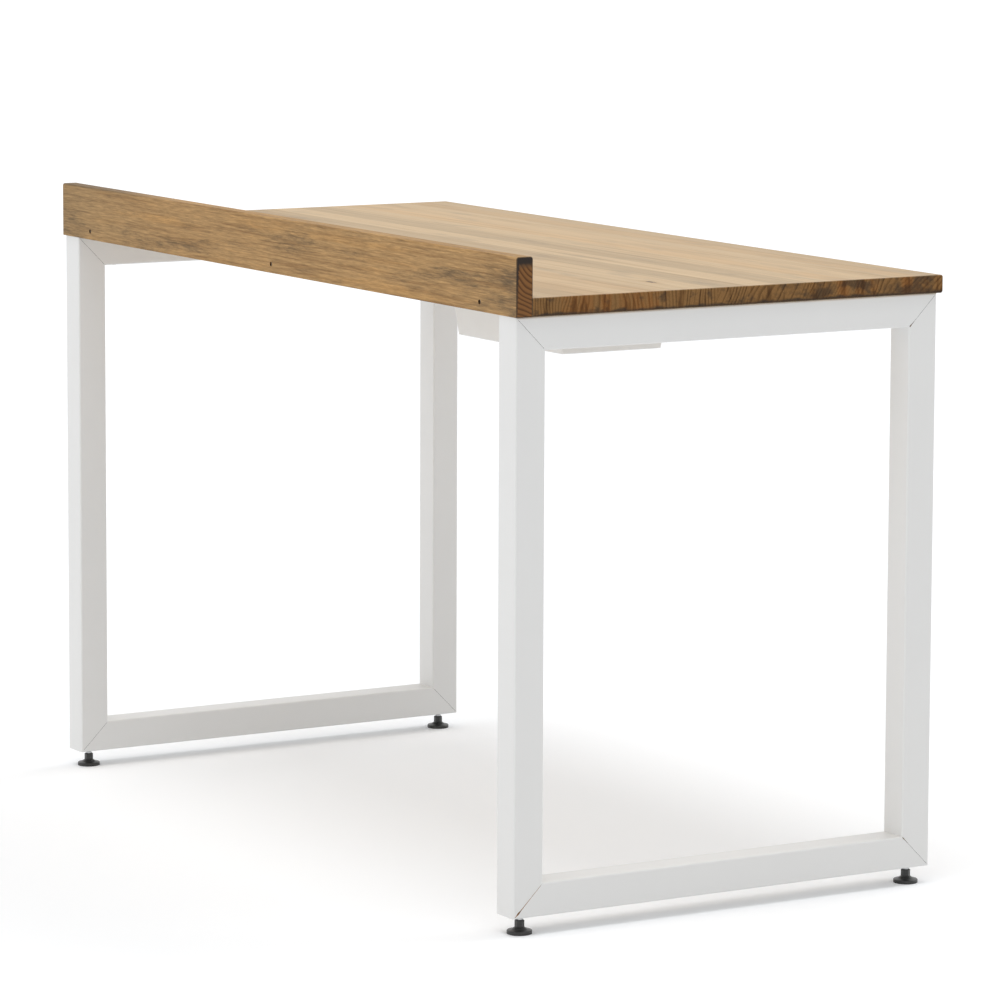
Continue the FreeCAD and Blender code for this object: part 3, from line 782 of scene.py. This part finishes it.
@dataclass(frozen=True)
class StainedPineBoard:
    """One flat-sawn board of pine under a brown stain, smudged with grey."""

    face_early: Colour = (0.440, 0.268, 0.115)
    face_late: Colour = (0.225, 0.122, 0.048)
    face_grey: Colour = (0.110, 0.076, 0.044)
    face_olive: Colour = (0.290, 0.200, 0.100)
    face_warm: Colour = (0.520, 0.285, 0.098)
    end_early: Colour = (0.225, 0.100, 0.032)
    end_late: Colour = (0.060, 0.024, 0.009)
    end_char_and_shade: Colour = (0.026, 0.021, 0.018)
    end_brown: Colour = (0.105, 0.058, 0.028)
    roughness: float = 0.54
    fibre_roughness: float = 0.2
    gloss: float = 0.16

    # the year rings: the face's round a pith below the board, the end's round one above it
    pith: Pair = (262.0, 700.0)
    ring_width: float = 4.6
    ring: YearRing = YearRing(0.30, 0.85, 0.90)
    arch_pith: Pair = (262.0, 820.0)
    arch_flatness: float = 0.8
    arch_ring: YearRing = YearRing(0.35, 0.80, 0.90)
    wandering: float = 26.0
    drift: Weave = Weave((0.0022, 0.012, 0.012))

    # the face
    fibre: Weave = Weave((0.032, 0.54, 0.54), 5.0, 0.7)
    fleck: Weave = Weave((0.050, 0.42, 0.42), 5.0, 0.7)
    streak: Weave = Weave((0.0060, 0.20, 0.20), 5.0, 0.62)
    cloud: Weave = Weave((0.0075, 0.060, 0.060), 5.0, 0.66)
    warmth: Weave = Weave((0.0050, 0.070, 0.070), 4.0, 0.6)
    ring_veil: float = 0.22
    streaks: Veil = Veil(0.44, 0.68, 0.72)
    warm_mark: float = 0.16
    warm: Veil = Veil(0.50, 0.78, 0.42)
    olive: Veil = Veil(250.0, 640.0, 0.45)
    fleck_swing: float = 0.62
    smudge_mark: float = 0.15
    grey: Veil = Veil(0.50, 0.90, 0.88)
    upper_edge: Veil = Veil(794.5, 797.6)
    edge_stretch: Veil = Veil(240.0, 520.0, 0.7)
    tone: float = 1.01
    fibre_swing: float = 1.9
    relief: float = 0.00010
    relief_strength: float = 0.7
    ring_relief: float = 0.5

    # the ends, with stain along the upper and the rear edges, and painted shade along the lower and the
    # front edges, where the board meets the frame and the top
    arch_veil: float = 0.75
    ragged: float = 6.0
    ragged_cap: float = 0.5
    rear_slant: float = 0.04
    rear_slant_from: float = 790.0
    painted_shade_lower_edge: Veil = Veil(730.0, 728.5)
    painted_shade_front_edge: Veil = Veil(280.0, 278.6)
    painted_shade_veil: float = 0.85
    brown: Veil = Veil(783.0, 788.0, 0.65)
    cap: Veil = Veil(786.8, 791.6)
    rear_edge: Veil = Veil(295.6, 297.8)
    char_veil: float = 0.95

    # where the stain pooled and where it is thin: middle and half widths along X and Z
    smudges: tuple[Mark, ...] = (
        (350.0, 742.0, 130.0, 24.0), (575.0, 742.0, 60.0, 40.0), (190.0, 745.0, 70.0, 14.0),
        (-60.0, 770.0, 90.0, 20.0), (-440.0, 762.0, 130.0, 16.0), (-540.0, 776.0, 110.0, 16.0),
        (-515.0, 742.0, 80.0, 18.0), (-590.0, 750.0, 40.0, 50.0),
    )
    warm_marks: tuple[Mark, ...] = (
        (-330.0, 736.0, 250.0, 9.0), (-150.0, 786.0, 300.0, 10.0), (330.0, 772.0, 160.0, 8.0),
    )

    def face(self, g: Graph, late: Socket, fibre: Socket, fleck: Socket) -> Socket:
        """The colour of the faces.

        Args:
            g: The graph.
            late: The late wood.
            fibre: The fibre's noise.
            fleck: The noise of the short flecks.

        Returns:
            The colour.
        """
        x, _, z = g.split(g.place)
        face = g.blend(g.times(late, self.ring_veil), self.face_early, self.face_late)
        face = g.cover(face, self.face_late, g.noise(self.streak), self.streaks)
        thin = g.marks(x, z, self.warm_marks)
        warm = g.line(thin, self.warm_mark, g.noise(self.warmth))
        face = g.cover(face, self.face_warm, warm, self.warm)
        face = g.cover(face, self.face_olive, x, self.olive)
        pooled = g.marks(x, z, self.smudges)
        grain = g.vary(fleck, self.fleck_swing, g.noise(self.cloud))
        face = g.cover(face, self.face_grey, g.line(pooled, self.smudge_mark, grain), self.grey)
        edge = g.times(g.veil(z, self.upper_edge), g.veil(x, self.edge_stretch))
        face = g.blend(edge, face, self.face_grey)
        return g.shade(face, g.vary(fibre, self.fibre_swing, self.tone))

    def end(self, g: Graph, sway: Socket, fleck: Socket) -> Socket:
        """The colour of the ends.

        Args:
            g: The graph.
            sway: How far the rings wander.
            fleck: The noise of the short flecks.

        Returns:
            The colour.
        """
        _, y, z = g.split(g.place)
        arch_y = g.minus(y, self.arch_pith[0])
        arch_z = g.times(g.minus(z, self.arch_pith[1]), self.arch_flatness)
        arch = g.plus(g.hypotenuse(arch_y, arch_z), sway)
        rings = g.late_wood(g.calc("DIVIDE", arch, self.ring_width), self.arch_ring)
        end = g.blend(g.times(rings, self.arch_veil), self.end_early, self.end_late)
        # painted shade along the lower and the front edges, where the board meets the frame and the top; the
        # same near-black colour serves the stain along the upper and the rear edges
        edges = g.calc("MAXIMUM", g.veil(z, self.painted_shade_lower_edge), g.veil(y, self.painted_shade_front_edge))
        end = g.blend(g.times(edges, self.painted_shade_veil), end, self.end_char_and_shade)
        end = g.cover(end, self.end_brown, z, self.brown)
        wander = g.vary(fleck, self.ragged, 0.0)
        cap = g.veil(g.line(wander, self.ragged_cap, z), self.cap)
        above = g.minus(z, self.rear_slant_from)
        rear = g.line(above, self.rear_slant, g.minus(y, wander))
        char = g.calc("MAXIMUM", cap, g.veil(rear, self.rear_edge))
        return g.blend(g.times(char, self.char_veil), end, self.end_char_and_shade)

    def make(self) -> Material:
        """Builds the material.

        Returns:
            The material.
        """
        g = new_graph("stained_pine")
        _, y, z = g.split(g.place)
        _, sway_y, sway_z = g.sway(self.drift, self.wandering)
        off_y = g.plus(g.minus(y, self.pith[0]), sway_y)
        off_z = g.plus(g.minus(z, self.pith[1]), sway_z)
        late = g.late_wood(g.calc("DIVIDE", g.hypotenuse(off_y, off_z), self.ring_width), self.ring)
        fibre = g.noise(self.fibre)
        fleck = g.noise(self.fleck)
        face, end = self.face(g, late, fibre, fleck), self.end(g, sway_z, fleck)
        relief = g.plus(g.times(late, self.ring_relief), fibre)
        return g.surface(
            Base_Color=g.blend(g.end_grain(), face, end),
            Roughness=g.line(fibre, self.fibre_roughness, self.roughness),
            Specular_IOR_Level=self.gloss,
            Normal=g.bump(relief, self.relief, self.relief_strength),
        )


@dataclass(frozen=True)
class PlainFinish:
    """A finish of one colour, whose tone, roughness and relief each follow a noise."""

    name: str
    colour: Colour
    roughness: float
    roughness_swing: float
    tone_swing: float
    relief: float
    relief_strength: float
    tone: Weave
    gleam: Weave
    grain: Weave
    metallic: float = 0.0

    def make(self) -> Material:
        """Builds the material.

        Returns:
            The material.
        """
        g = new_graph(self.name)
        return g.surface(
            Base_Color=g.shade(self.colour, g.vary(g.noise(self.tone), self.tone_swing)),
            Metallic=self.metallic,
            Roughness=g.line(g.noise(self.gleam), self.roughness_swing, self.roughness),
            Normal=g.bump(g.noise(self.grain), self.relief, self.relief_strength),
        )


@dataclass(frozen=True)
class PowderCoat(PlainFinish):
    """White powder coat on steel, with the slight ripple and streaks of the sprayed film."""

    name: str = "white_powder_coat"
    colour: Colour = (0.802, 0.800, 0.788)
    roughness: float = 0.31
    roughness_swing: float = 0.10
    tone_swing: float = 0.035
    relief: float = 0.00003
    relief_strength: float = 0.35
    tone: Weave = Weave((0.012, 0.012, 0.012), 3.0)
    gleam: Weave = Weave((0.012, 0.012, 0.012), 3.0)
    grain: Weave = Weave((0.55, 0.55, 0.55))


@dataclass(frozen=True)
class MouldedPlastic(PlainFinish):
    """A moulded plastic with the fine grain of its tool."""

    roughness_swing: float = 0.14
    tone_swing: float = 0.06
    relief: float = 0.00003
    relief_strength: float = 0.5
    tone: Weave = Weave((0.03, 0.03, 0.03))
    gleam: Weave = Weave((1.8, 1.8, 1.8), 2.0, 0.6)
    grain: Weave = Weave((1.8, 1.8, 1.8), 2.0, 0.6)


@dataclass(frozen=True)
class PlatedSteel(PlainFinish):
    """Zinc-plated steel with a soft mottle."""

    roughness_swing: float = 0.25
    tone_swing: float = 0.25
    relief: float = 0.00002
    relief_strength: float = 0.4
    tone: Weave = Weave((0.5, 0.5, 0.5), 3.0, 0.6)
    gleam: Weave = Weave((0.5, 0.5, 0.5), 3.0, 0.6)
    grain: Weave = Weave((0.5, 0.5, 0.5), 3.0, 0.6)
    metallic: float = 1.0


@dataclass(frozen=True)
class SeamShade:
    """The painted shadow, the dirt and the rust in a seam between two tubes."""

    name: str
    colour: Colour
    dark: Colour
    roughness: float = 0.8
    gloss: float = 0.1
    blot: Weave = Weave((0.22, 0.22, 0.22), 3.0, 0.6)
    blots: Veil = Veil(0.42, 0.62)

    def make(self) -> Material:
        """Builds the material.

        Returns:
            The material.
        """
        g = new_graph(self.name)
        return g.surface(
            Base_Color=g.cover(self.colour, self.dark, g.noise(self.blot), self.blots),
            Roughness=self.roughness,
            Specular_IOR_Level=self.gloss,
        )


# ---- sub-assemblies


@dataclass(frozen=True)
class ScrewSet:
    """Alike screws in rows.  Lengths are in millimetres."""

    node: str
    screw: Screw
    ahead: Vector
    along: tuple[float, ...]
    back: tuple[float, ...]
    height: float

    def build(self, steel: Material) -> Piece:
        """Makes the screws as one piece.

        Args:
            steel: Their material.

        Returns:
            The piece, with the heads' undersides at the places of the rows.
        """
        pieces = []
        for number, (x, y) in enumerate(product(self.along, self.back)):
            seat = MM * Vector((x, y, self.height))
            pieces.append(self.screw.build(f"{self.node}_{number}", seat, self.ahead, steel))
        return join_pieces(f"{self.node}_with_recess", pieces)


@dataclass
class WorkTop:
    """The pine top with its upstand board and their screws."""

    top: str = "top_panel"
    board: str = "rear_board"
    steel: PlatedSteel = PlatedSteel("tarnished_screw", (0.36, 0.31, 0.24), 0.33)
    screws: tuple[ScrewSet, ...] = (
        ScrewSet("top_screws", Screw(9.0, 2.0, 5.0, 55.0), UP, (-576.0, 576.0), (-232.0, 236.0), 688.0),
        ScrewSet("board_screws", Screw(5.8, 1.8, 4.0, 43.0), FORWARD, (-516.0, 0.0, 516.0), (297.0,), 739.0),
        ScrewSet("runner_screws", Screw(7.0, 1.8, 3.5, 13.5), UP, (-166.5, 166.5), (-257.0, -63.0), 726.5),
    )

    def build(self) -> list[str]:
        """Dresses the top and the board, and makes their screws.

        Returns:
            The names of the pieces.
        """
        dress(self.top, OiledPineTop().make())
        dress(self.board, StainedPineBoard().make())
        steel = self.steel.make()
        names = [self.top, self.board]
        for screws in self.screws:
            piece = screws.build(steel)
            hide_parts(screws.node)
            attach(piece, "frame")
            names.append(piece.name)
        return names


@dataclass
class EndFrames:
    """The two closed frames of square tube."""

    parts: tuple[str, ...] = ("front_upright", "rear_upright", "bottom_bar", "top_bar")

    # the tubes and their corners, in millimetres
    tube: float = 40.0
    corner: float = 2.5
    centre_x: float = 576.0
    front_y: float = -294.0
    rear_y: float = 298.0
    bottom_z: float = 22.0
    top_z: float = 728.0

    # a seam is a thin bead that stands just proud of the two tubes, and its grey is painted shadow of the
    # hairline gap at the mitre, with some dirt
    bead: float = 0.34
    sunk: float = 0.26
    bead_sides: int = 6
    bead_start: float = 0.5
    corner_steps: int = 4

    # the left frame's opened seams: how far their pieces stand out of its face and reach into
    # it, and their half widths by the distance from the outer corner
    proud: float = 0.09
    rooted: float = 0.25
    rusty_gap: tuple[Pair, ...] = (
        (3.2, 0.30), (6.0, 0.60), (8.5, 1.15), (10.5, 1.05),
        (13.5, 0.60), (20.0, 0.42), (32.0, 0.32), (52.0, 0.24),
    )
    lower_gap: tuple[Pair, ...] = ((44.0, 0.25), (50.0, 0.34), (53.4, 0.66), (55.6, 0.36))
    upper_gap: tuple[Pair, ...] = ((46.0, 0.26), (51.5, 0.40), (54.0, 0.90), (55.8, 0.50))

    coat: PowderCoat = PowderCoat()
    # painted shadow of the mitres' hairline gaps, with some dirt
    shade: SeamShade = SeamShade("seam_painted_shadow", (0.28, 0.275, 0.265), (0.10, 0.095, 0.09))
    rust: SeamShade = SeamShade("seam_rust", (0.36, 0.185, 0.070), (0.13, 0.060, 0.022))
    # painted shade in the two opened gaps at the front end, with some rust
    dark: SeamShade = SeamShade("seam_gap_shade_and_rust", (0.20, 0.15, 0.11), (0.09, 0.06, 0.04))

    def corner_frame(self, end: End, level: Level) -> tuple[Vector, Vector]:
        """Finds a mitre.

        Args:
            end: The frame's front or rear end.
            level: Its upper or lower corner.

        Returns:
            The mitre's outer corner and the way from it along the seam, in Y and Z.
        """
        outer_y, inwards_y = (self.front_y, 1.0) if end is End.FRONT else (self.rear_y, -1.0)
        outer_z, inwards_z = (self.top_z, -1.0) if level is Level.TOP else (self.bottom_z, 1.0)
        return Vector((0.0, outer_y, outer_z)), Vector((0.0, inwards_y, inwards_z))

    def seam_path(self) -> list[Pair]:
        """Draws a bead's middle line, up one face of the tube and down the other.

        Returns:
            Its points, as distances across the tube and along the mitre.
        """
        half = self.tube / 2 - self.sunk
        rounding = self.corner - self.sunk
        start = self.tube - self.corner
        path = [(-half, self.corner + self.bead_start), (-half, start)]
        for step in range(1, self.corner_steps):
            turn = step * math.pi / 2 / self.corner_steps
            path.append((-half + rounding * (1 - math.cos(turn)), start + rounding * math.sin(turn)))
        path.append((-half + rounding, self.tube - self.sunk))
        return path + [(-across, along) for across, along in reversed(path)]

    def seam(self, side: Side, end: End, level: Level, shade: Material) -> Piece:
        """Makes the bead of one mitre.

        Args:
            side: The end frame.
            end: Its front or rear end.
            level: Its upper or lower corner.
            shade: The bead's material.

        Returns:
            The bead.
        """
        outer, inwards = self.corner_frame(end, level)
        middle = self.centre_x * (-1.0 if side is Side.LEFT else 1.0)
        points = [outer + (middle + across) * ACROSS + along * inwards for across, along in self.seam_path()]
        out = inwards.cross(ACROSS).normalized()
        turns = [2 * math.pi * step / self.bead_sides for step in range(self.bead_sides)]
        rings = []
        for index, point in enumerate(points):
            before, after = points[max(index - 1, 0)], points[min(index + 1, len(points) - 1)]
            over = out.cross((after - before).normalized())
            rings.append([
                MM * (point + self.bead * (math.cos(turn) * out + math.sin(turn) * over)) for turn in turns
            ])
        return skin(f"{side.value}_{end.value}_{level.value}_seam", rings, shade)

    def opened_seam(self, end: End, level: Level, gap: tuple[Pair, ...], shade: Material) -> Piece:
        """Makes the gap where one mitre of the left frame has opened.

        Args:
            end: The frame's front or rear end.
            level: Its upper or lower corner.
            gap: The gap's half widths by their distance from the outer corner.
            shade: The gap's material.

        Returns:
            A flat lens on the frame's outer face.
        """
        outer, inwards = self.corner_frame(end, level)
        along = inwards.normalized()
        over = along.cross(ACROSS)
        face = outer - (self.centre_x + self.tube / 2) * ACROSS
        out, root = -self.proud * ACROSS, self.rooted * ACROSS
        rings = [
            [MM * (face + distance * along + offset) for offset in (width * over, out, -width * over, root)]
            for distance, width in gap
        ]
        return skin(f"left_{end.value}_{level.value}_opened_seam", rings, shade)

    def build(self) -> list[str]:
        """Dresses the tubes and makes the seams of their mitres.

        Returns:
            The names of the pieces.
        """
        coat = self.coat.make()
        names = [f"{side.value}_{part}" for side in Side for part in self.parts]
        for name in names:
            dress(name, coat)
        shade, rust, dark = self.shade.make(), self.rust.make(), self.dark.make()
        seams = [self.seam(side, end, level, shade) for side, end, level in product(Side, End, Level)]
        seams.append(self.opened_seam(End.REAR, Level.BOTTOM, self.rusty_gap, rust))
        seams.append(self.opened_seam(End.FRONT, Level.BOTTOM, self.lower_gap, dark))
        seams.append(self.opened_seam(End.FRONT, Level.TOP, self.upper_gap, dark))
        for piece in seams:
            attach(piece, "frame")
            names.append(piece.name)
        return names


@dataclass
class LevellingFeet:
    """Four screw feet under the end frames."""

    stud: ThreadedStud = ThreadedStud()
    nylon: MouldedPlastic = MouldedPlastic("black_nylon", (0.026, 0.026, 0.025), 0.29)
    zinc: PlatedSteel = PlatedSteel("zinc_plate", (0.66, 0.67, 0.68), 0.22)

    # where the feet stand, in millimetres
    out_x: float = 576.0
    front_y: float = -274.0
    rear_y: float = 278.0

    def build(self) -> list[str]:
        """Dresses the feet and cuts the threads of their studs.

        Returns:
            The names of the pieces.
        """
        nylon, zinc = self.nylon.make(), self.zinc.make()
        names = []
        for side, end in product(Side, End):
            foot = f"{side.value}_{end.value}_foot"
            for part, finish in (("pad", nylon), ("hexagon", nylon), ("insert", zinc)):
                dress(f"{foot}_{part}", finish)
                names.append(f"{foot}_{part}")
            x = self.out_x * (-1.0 if side is Side.LEFT else 1.0)
            y = self.front_y if end is End.FRONT else self.rear_y
            stud = self.stud.build(f"{foot}_threaded_stud", x, y, zinc)
            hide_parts(f"{foot}_stud")
            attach(stud, f"{foot}_screw")
            names.append(stud.name)
        return names


@dataclass
class PencilDrawer:
    """The shallow drawer and its two runners."""

    tray: str = "drawer_tray"
    plastic: MouldedPlastic = MouldedPlastic("white_plastic", (0.83, 0.83, 0.815), 0.35)
    coat: PowderCoat = PowderCoat("runner_powder_coat", (0.79, 0.79, 0.785), 0.35)

    def build(self) -> list[str]:
        """Dresses the tray and the runners.

        Returns:
            The names of the pieces.
        """
        dress(self.tray, self.plastic.make())
        coat = self.coat.make()
        names = [self.tray]
        for side in Side:
            dress(f"{side.value}_drawer_runner", coat)
            names.append(f"{side.value}_drawer_runner")
        return names


# ---- studio


@dataclass(frozen=True)
class Lamp:
    """An even, wide, soft light."""

    name: str
    source: Triple
    spread_degrees: float
    watts_per_square_metre: float

    def build(self) -> None:
        """Hangs the lamp in the direction of its source."""
        light = bpy.data.lights.new(self.name, "SUN")
        light.angle = math.radians(self.spread_degrees)
        light.energy = self.watts_per_square_metre
        lamp = stand(self.name, light)
        lamp.rotation_mode = "QUATERNION"
        lamp.rotation_quaternion = Vector(self.source).to_track_quat("Z", "Y")


@dataclass
class Studio:
    """The floor, the lamps, the white surround and the camera."""

    floor_half: float = 30.0
    floor_drop: float = 0.00005
    floor_colour: Colour = (0.905, 0.916, 0.930)
    floor_glow: float = 0.13
    white: Colour = (1.0, 1.0, 1.0)
    sky: float = 0.575
    lamps: tuple[Lamp, ...] = (
        Lamp("overhead", (-0.06, 0.14, 1.0), 32.0, 1.00),
        Lamp("front", (0.0, -1.0, 1.0), 40.0, 0.74),
        Lamp("rear_fill", (0.0, 1.0, 0.15), 50.0, 0.56),
    )
    eye: Triple = (-5.4319, 3.1821, 1.3347)
    heading: Triple = (-0.53454, -0.12402, 0.004)
    focal_pixels: float = 4932.9
    picture: float = 1000.0
    centre_row: float = 400.0
    sensor: float = 36.0
    clip: Pair = (0.1, 200.0)

    def floor(self) -> None:
        """Lays a pale floor that keeps the shadows and is white where it is lit."""
        mesh = bpy.data.meshes.new("floor")
        h = self.floor_half
        mesh.from_pydata([(-h, -h, 0), (h, -h, 0), (h, h, 0), (-h, h, 0)], [], [(0, 1, 2, 3)])
        floor = stand("floor", mesh)
        floor.location.z = -self.floor_drop
        g = new_graph("studio_floor")
        matt = g.add("BsdfDiffuse", {"Color": self.floor_colour})
        glow = g.add("Emission", {"Strength": g.times(g.seen(), self.floor_glow)})
        both = g.add("AddShader", {0: matt.outputs[0], 1: glow.outputs[0]})
        g.feed(g.output.inputs[0], both.outputs[0])
        mesh.materials.append(g.owner)

    def surround(self) -> None:
        """Makes the world white to look at and softer as a light."""
        world = bpy.data.worlds.new("studio")
        bpy.context.scene.world = world
        g = Graph(world, "OutputWorld")
        light, white = [
            g.add("Background", {"Color": self.white, "Strength": strength}).outputs[0]
            for strength in (self.sky, 1.0)
        ]
        mix = g.add("MixShader", {0: g.seen(), 1: light, 2: white})
        g.feed(g.output.inputs[0], mix.outputs[0])

    def camera(self) -> None:
        """Sets the camera up behind the desk's rear left corner."""
        yaw, pitch, roll = self.heading
        ahead = Vector((math.cos(pitch) * math.cos(yaw), math.cos(pitch) * math.sin(yaw), math.sin(pitch)))
        level = ahead.cross(UP).normalized()
        upright = level.cross(ahead)
        right = math.cos(roll) * level + math.sin(roll) * upright
        up = math.cos(roll) * upright - math.sin(roll) * level
        turn = Matrix((right, up, -ahead)).transposed()
        data = bpy.data.cameras.new("camera")
        data.sensor_width = self.sensor
        data.lens = self.sensor * self.focal_pixels / self.picture
        data.shift_y = (self.centre_row - self.picture / 2) / self.picture
        data.clip_start, data.clip_end = self.clip
        camera = stand("camera", data)
        camera.matrix_world = Matrix.Translation(self.eye) @ turn.to_4x4()
        bpy.context.scene.camera = camera

    def build(self) -> None:
        """Sets up the whole studio."""
        self.floor()
        self.surround()
        for lamp in self.lamps:
            lamp.build()
        self.camera()
        bpy.context.scene.view_settings.view_transform = "Standard"


def main() -> None:
    """Builds the desk and its studio."""
    logging.basicConfig(level=logging.INFO, format="%(message)s")
    Studio().build()
    for assembly in (WorkTop(), EndFrames(), LevellingFeet(), PencilDrawer()):
        for name in assembly.build():
            LOG.info("%s: %s", type(assembly).__name__, name)


if __name__ == "__main__":
    main()
